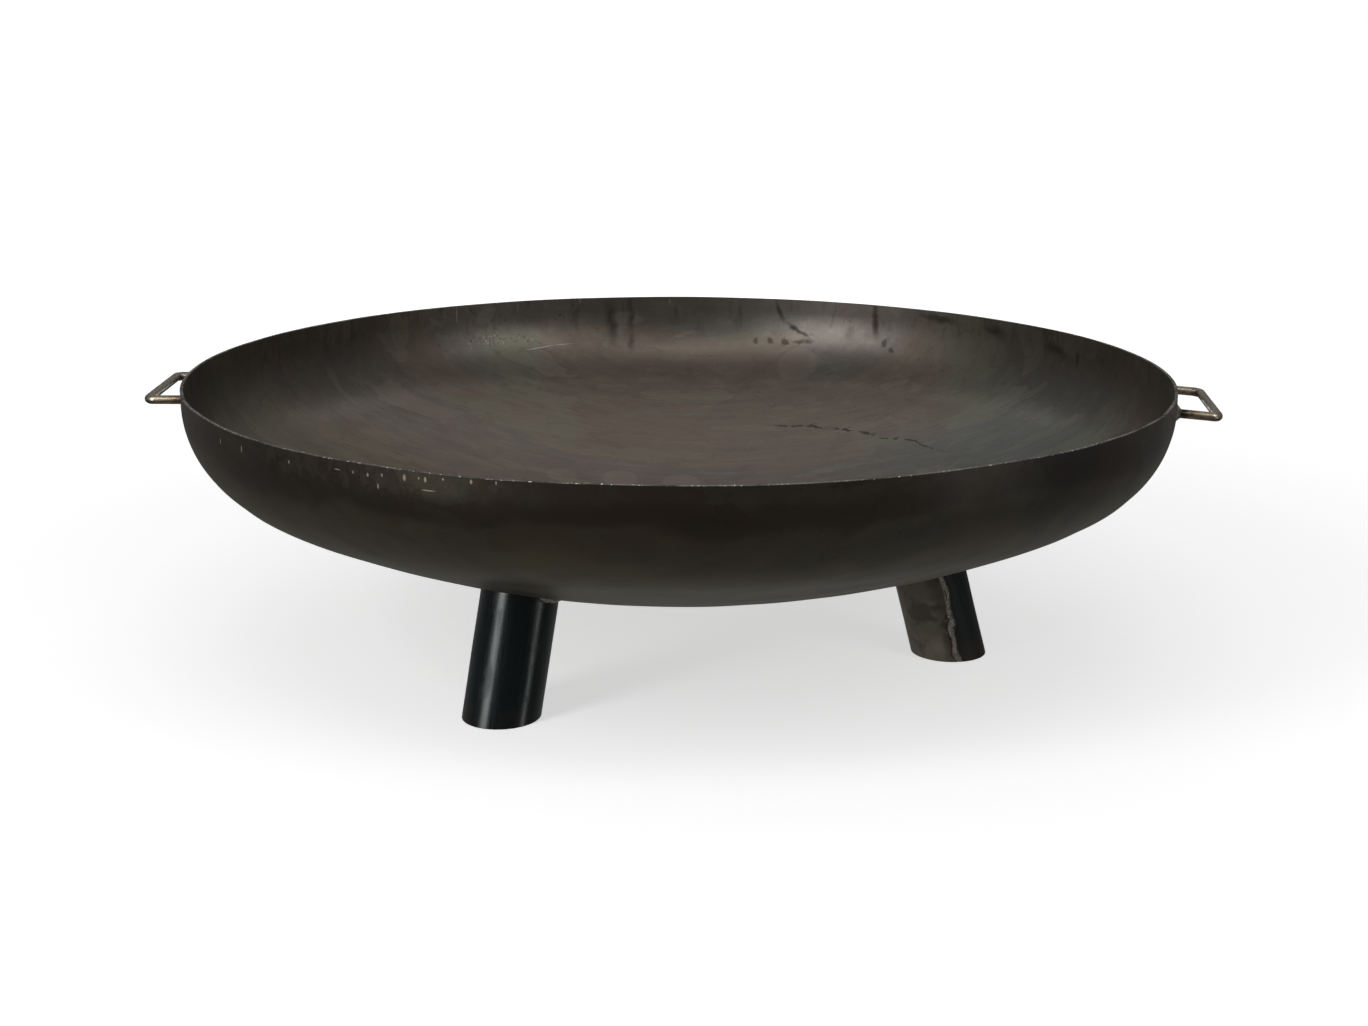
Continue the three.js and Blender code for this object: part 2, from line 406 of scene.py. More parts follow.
def make_handle(side, handle, skin):
    """Round bar, bent cold: flattened a little on the inside of each bend."""
    around = 40
    rows = []
    for x, y, heading, bent in handle_path(handle["skew"]):
        across = Vector((math.sin(heading), -math.cos(heading), 0))
        ring = []
        for j in range(around):
            turn = 2 * math.pi * j / around
            wide = BAR_RADIUS * math.cos(turn)
            high = BAR_RADIUS * math.sin(turn)
            if wide < 0:
                wide *= 1 - 0.10 * bent
            high *= 1 + 0.05 * bent
            ring.append(Vector((x, y, 0)) + across * wide + Vector((0, 0, high)))
        rows.append(ring)
    points = np.array([tuple(p) for ring in rows for p in ring])
    uneven = sines(HANDLE_SEEDS[side], count=16, shortest=0.008, longest=0.06, height=0.00011)(points)
    points[:, 2] += uneven
    faces = grid_faces(len(rows), around)
    faces.append(tuple(reversed(range(around))))
    faces.append(tuple(range((len(rows) - 1) * around, len(rows) * around)))
    outward = [tuple(reversed(face)) for face in faces]
    points = transformed(points, handle_matrix(handle))
    add_piece(f"bent_bar_{side}", points, outward, [skin], f"handle_{side}")


def make_root_weld(side, handle, arm, skin):
    """A fillet all round one root of a handle, with ripples and an uneven toe on the wall."""
    around, steps = 72, 14
    size = handle["weld"]
    random = np.random.default_rng(ROOT_WELD_SEED + (arm > 0) + 2 * (side == "right"))
    phase = random.uniform(0, 2 * math.pi)
    rows = []
    for i in range(steps + 1):
        share = i / steps
        ring = []
        for j in range(around):
            turn = 2 * math.pi * j / around
            ripple = 1 + 0.06 * math.sin(9 * turn + phase) + 0.04 * math.sin(2 * turn + 2 * phase)
            toe = size * ripple
            # slightly hollow between the toe on the wall and the toe on the bar
            radius = BAR_RADIUS - INTO_BAR + toe * (1 - share) ** 1.25
            y = arm + radius * math.cos(turn)
            x = wall_at(y, handle["skew"]) - INTO_WALL + toe * share**0.85
            ring.append((x, y, radius * math.sin(turn)))
        rows.append(ring)
    inner = [(x, arm + (y - arm) * 0.5, z * 0.5) for x, y, z in rows[-1]]
    back = []
    for j in range(around):
        turn = 2 * math.pi * j / around
        y = arm + BAR_RADIUS * 0.5 * math.cos(turn)
        back.append((wall_at(y, handle["skew"]) - INTO_WALL, y, BAR_RADIUS * 0.5 * math.sin(turn)))
    rows.append(inner)
    rows.append(back)
    points = [p for ring in rows for p in ring]
    faces = grid_faces(len(rows), around, close_rows=True)
    points = transformed(points, handle_matrix(handle))
    place = "front" if arm * math.cos(handle["side"]) < 0 else "rear"
    name = f"{side}_{place}"
    add_piece(f"root_weld_{name}", points, faces, [skin], f"weld_handle_{name}", sharp=60)


# ---------------------------------------------------------------- materials


class Shader:
    """One procedural material, written with short calls. Colours are linear."""

    def __init__(self, name):
        self.material = bpy.data.materials.new(name)
        self.material.use_nodes = True
        self.tree = self.material.node_tree
        self.surface = self.tree.nodes["Principled BSDF"]
        self.place = self.tree.nodes.new("ShaderNodeTexCoord").outputs["Object"]

    def node(self, kind, inputs=None, **settings):
        made = self.tree.nodes.new(kind)
        for key, value in settings.items():
            setattr(made, key, value)
        for key, value in (inputs or {}).items():
            self.set(made.inputs[key], value)
        return made

    def set(self, socket, value):
        if isinstance(value, bpy.types.NodeSocket):
            self.tree.links.new(value, socket)
        else:
            socket.default_value = value

    def stretched(self, scale, turn=(0, 0, 0), at=None):
        made = self.node("ShaderNodeMapping", {"Vector": at or self.place, "Scale": scale, "Rotation": turn})
        return made.outputs[0]

    def noise(self, scale, at=None, detail=4, rough=0.5, distortion=0):
        inputs = {
            "Vector": at or self.place,
            "Scale": scale,
            "Detail": detail,
            "Roughness": rough,
            "Distortion": distortion,
        }
        return self.node("ShaderNodeTexNoise", inputs).outputs["Fac"]

    def span(self, value, low, high, to_low=0.0, to_high=1.0):
        """Maps low..high to to_low..to_high with soft ends."""
        inputs = {0: value, 1: low, 2: high, 3: to_low, 4: to_high}
        return self.node("ShaderNodeMapRange", inputs, interpolation_type="SMOOTHSTEP").outputs[0]

    def math(self, operation, a, b=0.0):
        return self.node("ShaderNodeMath", {0: a, 1: b}, operation=operation).outputs[0]

    def mix(self, share, a, b, blend="MIX"):
        inputs = {0: share, 6: a, 7: b}
        return self.node("ShaderNodeMix", inputs, data_type="RGBA", blend_type=blend).outputs[2]

    def bump(self, height, distance, strength=1.0, under=None):
        inputs = {"Height": height, "Distance": distance, "Strength": strength}
        if under:
            inputs["Normal"] = under
        return self.node("ShaderNodeBump", inputs).outputs[0]

    def xyz(self, at=None):
        return self.node("ShaderNodeSeparateXYZ", {0: at or self.place}).outputs

    def warped(self, scale, amount, at=None):
        """The place, pushed about by noise, so that a mark has a natural outline."""
        place = at or self.place
        cloud = self.node("ShaderNodeTexNoise", {"Vector": place, "Scale": scale, "Detail": 3})
        inputs = {0: cloud.outputs["Color"], 1: (0.5, 0.5, 0.5)}
        middle = self.node("ShaderNodeVectorMath", inputs, operation="SUBTRACT")
        push = self.node("ShaderNodeVectorMath", {0: middle.outputs[0], "Scale": amount}, operation="SCALE")
        added = self.node("ShaderNodeVectorMath", {0: place, 1: push.outputs[0]}, operation="ADD")
        return added.outputs[0]

    def spot(self, centre, size, turn=(0, 0, 0), at=None, edge=0.35):
        """1 inside an ellipsoid, fading to 0 outside it."""
        inputs = {"Vector": at or self.place, "Location": centre, "Rotation": turn, "Scale": size}
        local = self.node("ShaderNodeMapping", inputs, vector_type="TEXTURE").outputs[0]
        far = self.node("ShaderNodeVectorMath", {0: local}, operation="LENGTH").outputs["Value"]
        return self.span(far, 1 + edge, 1 - edge)

    def most(self, *values):
        result = values[0]
        for value in values[1:]:
            result = self.math("MAXIMUM", result, value)
        return result

    def finish(self, color, metallic, roughness, normal=None):
        self.set(self.surface.inputs["Base Color"], color)
        self.set(self.surface.inputs["Metallic"], metallic)
        self.set(self.surface.inputs["Roughness"], roughness)
        if normal:
            self.set(self.surface.inputs["Normal"], normal)
        return self.material


def rgb(red, green, blue):
    """A colour given as a display sees it, 0 to 255, as the linear colour that nodes use."""
    linear = [((c / 255 + 0.055) / 1.055) ** 2.4 if c > 10 else c / 255 / 12.92 for c in (red, green, blue)]
    return (*linear, 1.0)


def on_wall(azimuth, depth):
    """The point on the inside of the bowl at an azimuth in degrees and a depth below the rim."""
    height = RIM_HEIGHT - depth
    below = KNUCKLE_HEIGHT - height
    inner_knuckle = KNUCKLE_RADIUS - SHEET
    if below <= 0:
        radius = RIM_RADIUS - SHEET
    elif below < inner_knuckle * math.cos(CROWN_ANGLE):
        radius = KNUCKLE_CENTRE + math.sqrt(inner_knuckle**2 - below**2)
    else:
        radius = math.sqrt((CROWN_RADIUS - SHEET) ** 2 - (CROWN_CENTRE_HEIGHT - height) ** 2)
    angle = math.radians(azimuth)
    return Vector((radius * math.cos(angle), radius * math.sin(angle), height))


def streak(shader, start, end, width, at=None, edge=0.35):
    """A long thin mark from one point to another."""
    along = end - start
    turn = along.to_track_quat("X", "Z").to_euler()
    size = (along.length / 2, width, width)
    return shader.spot((start + end) / 2, size, turn, at, edge)


def mill_scale(name, gain, metallic, base):
    """Hot-rolled sheet as pressed: dark scale in olive, brown and mauve, with rolled streaks and flakes."""
    s = Shader(name)
    rolled = s.stretched((2.2, 60, 20), (0, 0, math.radians(2)))
    streaks = s.noise(3.2, rolled, detail=6, rough=0.62)
    hair = s.noise(2.6, s.stretched((2.4, 170, 36), (0, 0, math.radians(2))), detail=3, rough=0.6)
    wide = s.warped(7, 0.07)
    broad = s.noise(3.6, wide, detail=3, rough=0.5)
    haze = s.noise(2.6, s.stretched((0.55, 2.6, 1.8), at=wide), detail=3, rough=0.5)
    flake = s.noise(6, s.stretched((0.8, 4.2, 2.6), at=s.warped(18, 0.035)), detail=4, rough=0.45)
    small = s.noise(26, s.stretched((1, 2.2, 2.2), at=s.warped(50, 0.012)), detail=5, rough=0.6)

    def tint(*color):
        return tuple(channel * gain for channel in rgb(*color)[:3]) + (1.0,)

    color = s.mix(s.span(broad, 0.52, 0.57, 0, 0.75), tint(*base), tint(113, 100, 91))
    color = s.mix(s.span(haze, 0.515, 0.565, 0, 0.7), color, tint(103, 99, 96))
    color = s.mix(s.span(flake, 0.570, 0.592, 0, 0.5), color, tint(124, 120, 107))
    rim_of_flake = s.math("MULTIPLY", s.span(flake, 0.560, 0.575), s.span(flake, 0.592, 0.578))
    color = s.mix(s.math("MULTIPLY", rim_of_flake, 0.16), color, tint(82, 74, 66))
    color = s.mix(s.span(small, 0.57, 0.60, 0, 0.30), color, tint(94, 84, 76))
    color = s.mix(s.span(small, 0.43, 0.40, 0, 0.28), color, tint(124, 120, 106))
    line = s.math("MULTIPLY", s.span(hair, 0.66, 0.71), s.span(small, 0.55, 0.48))
    color = s.mix(s.math("MULTIPLY", line, 0.6), color, tint(66, 58, 52))
    dark = s.span(streaks, 0.35, 0.68, 0.95, 1.04)
    shade = s.node("ShaderNodeCombineColor", {0: dark, 1: dark, 2: dark}).outputs[0]
    color = s.mix(1.0, color, shade, "MULTIPLY")
    pits = s.span(s.noise(240, detail=2), 0.66, 0.74, 0, 0.35)
    color = s.mix(pits, color, tint(62, 56, 50))

    roughness = s.span(streaks, 0.3, 0.7, 0.41, 0.39)
    roughness = s.math("ADD", roughness, s.span(haze, 0.4, 0.65, 0.02, -0.02))
    roughness = s.math("ADD", roughness, s.span(flake, 0.575, 0.590, 0.0, 0.04))

    grain = s.noise(900, detail=3, rough=0.6)
    height = s.math("ADD", s.math("MULTIPLY", grain, 0.35), s.math("MULTIPLY", streaks, 0.1))
    normal = s.bump(height, 0.00022, 0.30)
    return s, color, metallic, roughness, normal, tint


# Dark smears on the inside wall: azimuth and depth at each end, width, softness.
SMEARS = (
    (103.4, 0.010, 103.0, 0.050, 0.0055, 0.9),
    (100.4, 0.004, 100.3, 0.060, 0.0046, 0.8),
    (64.1, 0.000, 63.6, 0.036, 0.0042, 0.7),
    (79.1, 0.005, 77.6, 0.028, 0.0028, 0.7),
    (77.6, 0.028, 74.0, 0.047, 0.0024, 0.7),
    (56.5, 0.006, 51.0, 0.012, 0.0045, 0.8),
    (46.0, 0.012, 42.5, 0.016, 0.0060, 0.8),
    (34.6, 0.016, 30.0, 0.028, 0.0060, 0.8),
    (28.0, 0.018, 27.5, 0.034, 0.0040, 0.8),
)
SMUDGE = (76.0, 0.052, 73.4, 0.051, 0.0028, 0.5)

# Dark spots on the inside wall: azimuth, depth, half width, half height.
SPOTS = (
    (81.8, 0.052, 0.0030, 0.0040),
    (79.6, 0.053, 0.0042, 0.0038),
    (77.4, 0.052, 0.0040, 0.0034),
    (62.0, 0.045, 0.0028, 0.0045),
    (60.8, 0.054, 0.0026, 0.0030),
)

# Bright scratches on the inside wall, given as the smears are.
SCRATCHES = (
    (126.6, -0.002, 126.7, 0.022, 0.0006, 0.35),
    (117.1, -0.002, 117.2, 0.014, 0.0005, 0.35),
    (107.8, -0.002, 107.8, 0.007, 0.0005, 0.35),
    (94.6, 0.002, 94.6, 0.010, 0.0005, 0.35),
    (117.6, 0.061, 112.0, 0.056, 0.0007, 0.35),
    (112.0, 0.056, 104.4, 0.053, 0.0007, 0.35),
)

# Round prints that the press left: centre and radius.
PRESS_PRINTS = (
    (on_wall(75.0, 0.078), 0.025),
    (Vector((-0.149, 0.225, 0.125)), 0.017),
    (Vector((-0.082, 0.236, 0.120)), 0.020),
    (Vector((-0.011, 0.233, 0.116)), 0.022),
    (Vector((0.150, 0.150, 0.108)), 0.024),
    (Vector((0.060, -0.120, 0.096)), 0.023),
    (Vector((-0.230, -0.080, 0.118)), 0.021),
    (Vector((0.250, -0.190, 0.138)), 0.024),
)
TOOLING_RADIUS = 0.374


def wall_streaks(s, marks, at=None):
    """The streaks of a table, on the inside wall."""
    made = []
    for azimuth, depth, end_azimuth, end_depth, width, edge in marks:
        made.append(streak(s, on_wall(azimuth, depth), on_wall(end_azimuth, end_depth), width, at, edge))
    return s.most(*made)


def wall_grime(s, angle, z):
    """Smears, spots and runs of dirt on the inside wall."""
    place = s.warped(70, 0.010)
    smears = wall_streaks(s, SMEARS, place)
    spots = [s.spot(on_wall(azimuth, depth), (w, 0.01, h), at=place) for azimuth, depth, w, h in SPOTS]
    spots = s.most(wall_streaks(s, [SMUDGE], place), *spots)
    turned = {0: s.math("MULTIPLY", angle, 16.0), 1: s.math("MULTIPLY", z, 9.0)}
    turned = s.node("ShaderNodeCombineXYZ", turned).outputs[0]
    runs = s.noise(1.6, turned, detail=6, rough=0.6, distortion=0.4)
    upright = s.span(z, RIM_HEIGHT - 0.055, RIM_HEIGHT - 0.015)
    run = s.math("MULTIPLY", s.span(runs, 0.54, 0.66, 0, 0.45), upright)
    return s.most(s.math("MULTIPLY", smears, 0.88), s.math("MULTIPLY", spots, 0.6), run)


def tooling_line(s, angle, x, y):
    """A long broken line on the dish's floor, at one radius."""
    radius = s.math("POWER", s.math("ADD", s.math("MULTIPLY", x, x), s.math("MULTIPLY", y, y)), 0.5)
    uneven = s.span(s.noise(30), 0.3, 0.7, -0.004, 0.004)
    off_line = s.math("ABSOLUTE", s.math("SUBTRACT", s.math("ADD", radius, uneven), TOOLING_RADIUS))
    line = s.span(off_line, 0.0026, 0.0006)
    line = s.math("MULTIPLY", line, s.span(s.noise(95, detail=2), 0.44, 0.54))
    line = s.math("MULTIPLY", line, s.span(angle, math.radians(34), math.radians(46)))
    return s.math("MULTIPLY", line, s.span(angle, math.radians(80), math.radians(72)))


def crumbly_patch(s):
    """Where the scale has broken up on the knuckle: a mask, and the grit in it."""
    place = s.warped(40, 0.012)
    patch = s.most(
        s.spot(on_wall(122.5, 0.046), (0.030, 0.030, 0.008), at=place),
        s.spot(on_wall(116.8, 0.046), (0.016, 0.030, 0.005), at=place),
    )
    return patch, s.noise(380, detail=1)


def inside_skin():
    """The inside of the bowl, with the marks that pressing and stacking left on it."""
    s, color, metallic, roughness, normal, tint = mill_scale("mill_scale_inside", 1.05, 0.72, (112, 110, 97))
    x, y, z = s.xyz()
    angle = s.math("ARCTAN2", y, x)

    # Mauve to the left and blued to the right.
    drifted = s.warped(7, 0.07)
    mauve = s.spot((-0.24, 0.10, 0.125), (0.24, 0.24, 0.10), at=drifted, edge=1.0)
    blued = s.spot((0.37, 0.05, 0.165), (0.12, 0.26, 0.06), at=drifted, edge=1.0)
    color = s.mix(mauve, color, (1.10, 0.93, 0.88, 1.0), "MULTIPLY")
    color = s.mix(blued, color, (1.02, 1.13, 1.22, 1.0), "MULTIPLY")

    grime = wall_grime(s, angle, z)
    color = s.mix(grime, color, tint(50, 44, 40))
    roughness = s.math("ADD", roughness, s.math("MULTIPLY", grime, 0.15))

    # Painted shade: the upright wall is darker toward the two handles.
    shade_toward_handles = s.span(s.math("ABSOLUTE", x), 0.26, 0.44, 0, 0.5)
    upright = s.span(z, RIM_HEIGHT - 0.090, RIM_HEIGHT - 0.035)
    color = s.mix(s.math("MULTIPLY", shade_toward_handles, upright), color, tint(62, 54, 46))

    line = tooling_line(s, angle, x, y)
    color = s.mix(s.math("MULTIPLY", line, 0.9), color, tint(46, 40, 36))

    place = s.warped(25, 0.004)
    prints = s.most(*[s.spot(centre, (size,) * 3, at=place, edge=0.06) for centre, size in PRESS_PRINTS])
    color = s.mix(s.math("MULTIPLY", prints, 0.30), color, tint(136, 124, 112))
    normal = s.bump(prints, 0.0002, 0.5, normal)

    patch, grit = crumbly_patch(s)
    dark_grit = s.math("MULTIPLY", s.math("MULTIPLY", patch, s.span(grit, 0.40, 0.36)), 0.7)
    color = s.mix(dark_grit, color, tint(56, 48, 42))
    bright_grit = s.math("MULTIPLY", patch, s.span(grit, 0.66, 0.70))
    bright = s.most(wall_streaks(s, SCRATCHES), bright_grit)
    color = s.mix(s.math("MULTIPLY", bright, 0.5), color, rgb(200, 190, 176))
    return s.finish(color, metallic, roughness, normal)


# Nicks in the outside wall: azimuth, depth, half width, half height.
NICKS = (
    (-142.0, 0.0130, 0.0008, 0.0026),
    (-137.0, 0.0120, 0.0009, 0.0030),
    (-128.5, 0.0110, 0.0010, 0.0014),
    (-121.6, 0.0085, 0.0030, 0.0006),
    (-119.6, 0.0085, 0.0008, 0.0012),
    (-117.8, 0.0088, 0.0010, 0.0016),
    (-116.1, 0.0072, 0.0009, 0.0013),
    (-116.6, 0.0170, 0.0008, 0.0024),
    (-113.5, 0.0066, 0.0013, 0.0026),
    (-111.9, 0.0056, 0.0007, 0.0009),
    (-111.2, 0.0062, 0.0011, 0.0022),
    (-110.9, 0.0150, 0.0060, 0.0005),
    (-109.3, 0.0042, 0.0009, 0.0010),
    (-106.4, 0.0040, 0.0011, 0.0018),
    (-103.9, 0.0032, 0.0007, 0.0016),
)


def nicked(s):
    """A mask of the nicks."""
    made = []
    for azimuth, depth, width, drop in NICKS:
        turn = math.radians(azimuth)
        centre = Vector((RIM_RADIUS * math.cos(turn), RIM_RADIUS * math.sin(turn), RIM_HEIGHT - depth))
        made.append(s.spot(centre, (0.006, width, drop), (0, 0, turn)))
    return s.most(*made)


def nick_stains(s, color, angle, z):
    """Olive and brown drips on the wall around the nicks."""
    below = s.math("SUBTRACT", RIM_HEIGHT, z)
    near_nicks = s.math("MULTIPLY", s.span(angle, -2.42, -2.25), s.span(angle, -1.70, -1.95))
    stained = s.math("MULTIPLY", near_nicks, s.span(below, 0.034, 0.012))
    turned = {0: s.math("MULTIPLY", angle, 22.0), 1: s.math("MULTIPLY", z, 26.0)}
    turned = s.node("ShaderNodeCombineXYZ", turned).outputs[0]
    drips = s.noise(1.7, turned, detail=5, rough=0.65)
    color = s.mix(s.math("MULTIPLY", stained, s.span(drips, 0.46, 0.60, 0, 0.45)), color, rgb(74, 70, 55))
    return s.mix(s.math("MULTIPLY", stained, s.span(drips, 0.44, 0.36, 0, 0.4)), color, rgb(76, 68, 60))


def outside_skin():
    """The outside of the bowl: darker than the inside as painted shade, with more painted shade just under
    the rim, olive and lighter lower down where the lightening is painted light, with nicks.
    """
    # Painted shade: the low gain makes the whole outside darker than the inside.
    s, color, metallic, roughness, normal, _ = mill_scale("mill_scale_outside", 0.23, 0.5, (116, 100, 84))
    s.surface.inputs["Specular IOR Level"].default_value = 0.35
    s.surface.inputs["Specular Tint"].default_value = (1.0, 0.975, 0.89, 1.0)
    x, y, z = s.xyz()
    cloud = s.noise(6, s.warped(14, 0.05), detail=3)
    ragged = s.math("ADD", z, s.span(cloud, 0.35, 0.65, -0.012, 0.012))
    # Olive and lighter lower down: the olive is the scale's own tint, and its lightness is painted light
    # from the floor below.
    low = s.most(s.span(ragged, 0.262, 0.246, 0, 0.4), s.span(ragged, 0.262, 0.205))
    patches = s.noise(9, s.stretched((1, 2.4, 2.4), at=s.warped(20, 0.03)), detail=4)
    olive = s.math("MULTIPLY", low, s.span(patches, 0.40, 0.60, 0.35, 0.9))
    color = s.mix(olive, color, rgb(76, 70, 53))
    # Painted shade: a darker band just under the rim.
    shade_under_rim = s.math("MULTIPLY", s.span(ragged, 0.288, 0.272), s.span(ragged, 0.250, 0.262))
    color = s.mix(s.math("MULTIPLY", shade_under_rim, 0.45), color, rgb(38, 31, 26))
    color = nick_stains(s, color, s.math("ARCTAN2", y, x), z)
    color = s.mix(s.math("MULTIPLY", nicked(s), 0.6), color, rgb(190, 182, 160))
    return s.finish(color, metallic, roughness, normal)


def cut_edge():
    """Bare steel where the sheet was cut: bright, with burrs and dull stretches."""
    s = Shader("cut_edge_steel")
    worn = s.noise(26, detail=4, rough=0.6)
    sparkle = s.noise(420, detail=2)
    color = s.mix(s.span(worn, 0.35, 0.65), rgb(78, 73, 67), rgb(150, 144, 134))
    color = s.mix(s.span(sparkle, 0.60, 0.68), color, rgb(250, 244, 232))
    roughness = s.span(worn, 0.3, 0.7, 0.5, 0.3)
    return s.finish(color, 0.9, roughness, s.bump(sparkle, 0.0002, 0.6))


# The legs' finishes, in the order of LEG_NAMES. Two tones meet at the seam, an angle round the tube.
LEG_FINISHES = (
    {
        "before": rgb(146, 136, 120),
        "beyond": rgb(15, 16, 17),
        "specular": 0.40,
        "roughness": 0.40,
        "roughness_beyond": 0.55,
        "seam": math.radians(-73),
        "seam_strength": 0.85,
    },
    {
        "before": rgb(22, 29, 30),
        "beyond": rgb(16, 24, 26),
        "specular": 0.6,
        "roughness": 0.26,
        "roughness_beyond": 0.24,
        "seam": math.radians(150),
        "seam_strength": 0.4,
    },
    {
        "before": rgb(20, 29, 29),
        "beyond": rgb(17, 26, 28),
        "specular": 0.6,
        "roughness": 0.27,
        "roughness_beyond": 0.24,
        "seam": math.radians(-150),
        "seam_strength": 0.25,
    },
)


def weld_seam(s, color, local, past, strength):
    """A pale broken band along the tube's seam, and a thin dark line beside it."""
    band = s.math("MULTIPLY", s.span(past, -0.10, -0.02), s.span(past, 0.12, 0.04))
    crumbled = s.noise(420, local, detail=5, rough=0.7)
    band = s.math("MULTIPLY", band, s.span(crumbled, 0.40, 0.62, 0.25, 1.0))
    sway = s.span(s.noise(70, local), 0.3, 0.7, 0.01, 0.11)
    off_line = s.math("ABSOLUTE", s.math("ADD", past, sway))
    line = s.math("MULTIPLY", s.span(off_line, 0.026, 0.012), s.span(s.noise(30, local), 0.46, 0.54))
    color = s.mix(s.math("MULTIPLY", band, strength), color, rgb(184, 174, 162))
    return s.mix(s.math("MULTIPLY", line, strength), color, rgb(26, 22, 20)), band


def shade_and_heat_below_welds(s, color, angle, z):
    """Painted shade on the tube below each of its stitches, tinted dark brown as heat marks."""
    under_stitches = s.span(z, LEG_LENGTH - 0.018, LEG_LENGTH - 0.004)
    for stitch in STITCHES:
        off_weld = s.math("ABSOLUTE", s.math("SUBTRACT", angle, stitch))
        near_weld = s.math("MULTIPLY", under_stitches, s.span(off_weld, STITCH_ARC * 0.8, STITCH_ARC * 0.4))
        color = s.mix(s.math("MULTIPLY", near_weld, 0.85), color, rgb(26, 19, 15))
    return color


def leg_skin(index, finish):
    """Drawn tube. One long seam runs down it, between two tones of its dark skin."""
    s = Shader(f"leg_skin_{LEG_NAMES[index]}")
    s.surface.inputs["Specular IOR Level"].default_value = finish["specular"]
    s.surface.inputs["Specular Tint"].default_value = (0.93, 1.0, 0.98, 1.0)
    inverse = leg_matrix(index).inverted()
    inputs = {"Vector": s.place, "Location": inverse.to_translation(), "Rotation": inverse.to_euler()}
    local = s.node("ShaderNodeMapping", inputs).outputs[0]
    x, y, z = s.xyz(local)
    wave = s.span(s.noise(24, local, detail=3), 0.3, 0.7, -0.09, 0.09)
    angle = s.math("ADD", s.math("ARCTAN2", y, x), wave)
    past = s.math("SUBTRACT", angle, finish["seam"])
    beyond = s.span(past, -0.02, 0.08)
    drawn = s.noise(4, s.stretched((90, 90, 5), at=local), detail=5, rough=0.6)
    cloud = s.noise(16, local, detail=4, rough=0.55)
    scuff = s.noise(60, s.stretched((1, 1, 0.4), at=local), detail=5, rough=0.65)
    stain = s.span(s.noise(34, s.warped(30, 0.02, local), detail=4), 0.50, 0.62, 0, 0.5)

    first = s.mix(s.span(cloud, 0.38, 0.62, 0.55, 1.0), rgb(30, 27, 24), finish["before"])
    first = s.mix(s.span(past, -0.55, -0.12, 0, 0.5), first, rgb(40, 34, 30))
    first = s.mix(stain, first, rgb(44, 38, 33))
    second = s.mix(s.span(cloud, 0.35, 0.65, 0.7, 1.0), rgb(12, 12, 12), finish["beyond"])
    color = s.mix(beyond, first, second)
    color = s.mix(s.span(scuff, 0.62, 0.76, 0, 0.3), color, rgb(84, 80, 74))
    strength = finish["seam_strength"]
    color, band = weld_seam(s, color, local, past, strength)
    # Painted shade below the stitches, tinted as heat marks.
    color = shade_and_heat_below_welds(s, color, angle, z)
    near_foot = s.math("MULTIPLY", s.span(z, 0.020, 0.0), s.span(cloud, 0.4, 0.6, 0.0, 0.3))
    color = s.mix(near_foot, color, rgb(70, 50, 40))

    rough = s.span(drawn, 0.3, 0.7, -0.03, 0.05)
    rough = s.math("ADD", rough, s.span(beyond, 0, 1, finish["roughness"], finish["roughness_beyond"]))
    rough = s.math("ADD", rough, s.span(scuff, 0.5, 0.7, 0.0, 0.12))
    rough = s.math("ADD", rough, s.math("MULTIPLY", band, 0.12 * strength))
    height = s.math("ADD", s.math("MULTIPLY", drawn, 0.8), s.math("MULTIPLY", scuff, 0.4))
    return s.finish(color, 0.15, rough, s.bump(height, 0.00012, 0.35))


def handle_skin():
    """Bright-drawn bar, browned by heat, with painted shade on its underside, dull and pitted along the
    grip.
    """
    s = Shader("browned_bar")
    reach = s.math("SUBTRACT", s.math("ABSOLUTE", s.xyz()[0]), RIM_RADIUS)
    cloud = s.noise(70, detail=4, rough=0.6)
    grain = s.noise(30, s.stretched((9, 9, 30)), detail=4, rough=0.65)
    pits = s.noise(420, detail=4, rough=0.7)
    color = s.mix(s.span(cloud, 0.35, 0.65), rgb(202, 184, 158), rgb(228, 212, 188))
    on_grip = s.span(reach, 0.031, 0.037)
    grip = s.mix(s.span(pits, 0.40, 0.60), rgb(98, 93, 86), rgb(176, 170, 160))
    color = s.mix(s.math("MULTIPLY", on_grip, 0.85), color, grip)
    # Painted shade: the bar is darkened where its surface faces down.
    facing = s.xyz(s.node("ShaderNodeNewGeometry").outputs["Normal"])[2]
    shaded_underside = s.span(s.math("ADD", facing, s.span(cloud, 0.3, 0.7, -0.05, 0.05)), 0.15, -0.35)
    color = s.mix(s.math("MULTIPLY", shaded_underside, 0.85), color, rgb(58, 46, 38))
    warm = s.math("ADD", reach, s.span(cloud, 0.3, 0.7, -0.004, 0.004))
    color = s.mix(s.span(warm, 0.020, 0.010, 0, 0.45), color, rgb(160, 136, 104))
    color = s.mix(s.span(warm, 0.012, 0.007, 0, 0.7), color, rgb(96, 66, 62))
    color = s.mix(s.span(warm, 0.007, 0.003, 0, 0.9), color, rgb(58, 62, 50))
    roughness = s.span(grain, 0.3, 0.7, 0.26, 0.33)
    roughness = s.math("ADD", roughness, s.math("MULTIPLY", on_grip, s.span(pits, 0.6, 0.4, 0.08, 0.24)))
    height = s.math("ADD", s.math("MULTIPLY", grain, 0.5), s.math("MULTIPLY", on_grip, pits))
    return s.finish(color, 0.95, roughness, s.bump(height, 0.00014, 0.5))


def weld_skin():
    """As-welded metal: dark, with a dull sheen on each ripple."""
    s = Shader("weld_bead_metal")
    cloud = s.noise(220, detail=3, rough=0.6)
    color = s.mix(s.span(cloud, 0.35, 0.65), rgb(104, 98, 92), rgb(170, 164, 158))
    roughness = s.span(cloud, 0.3, 0.7, 0.35, 0.55)
    return s.finish(color, 0.7, roughness, s.bump(s.noise(700, detail=2), 0.0001, 0.5))


# ---------------------------------------------------------------- stage, light and camera


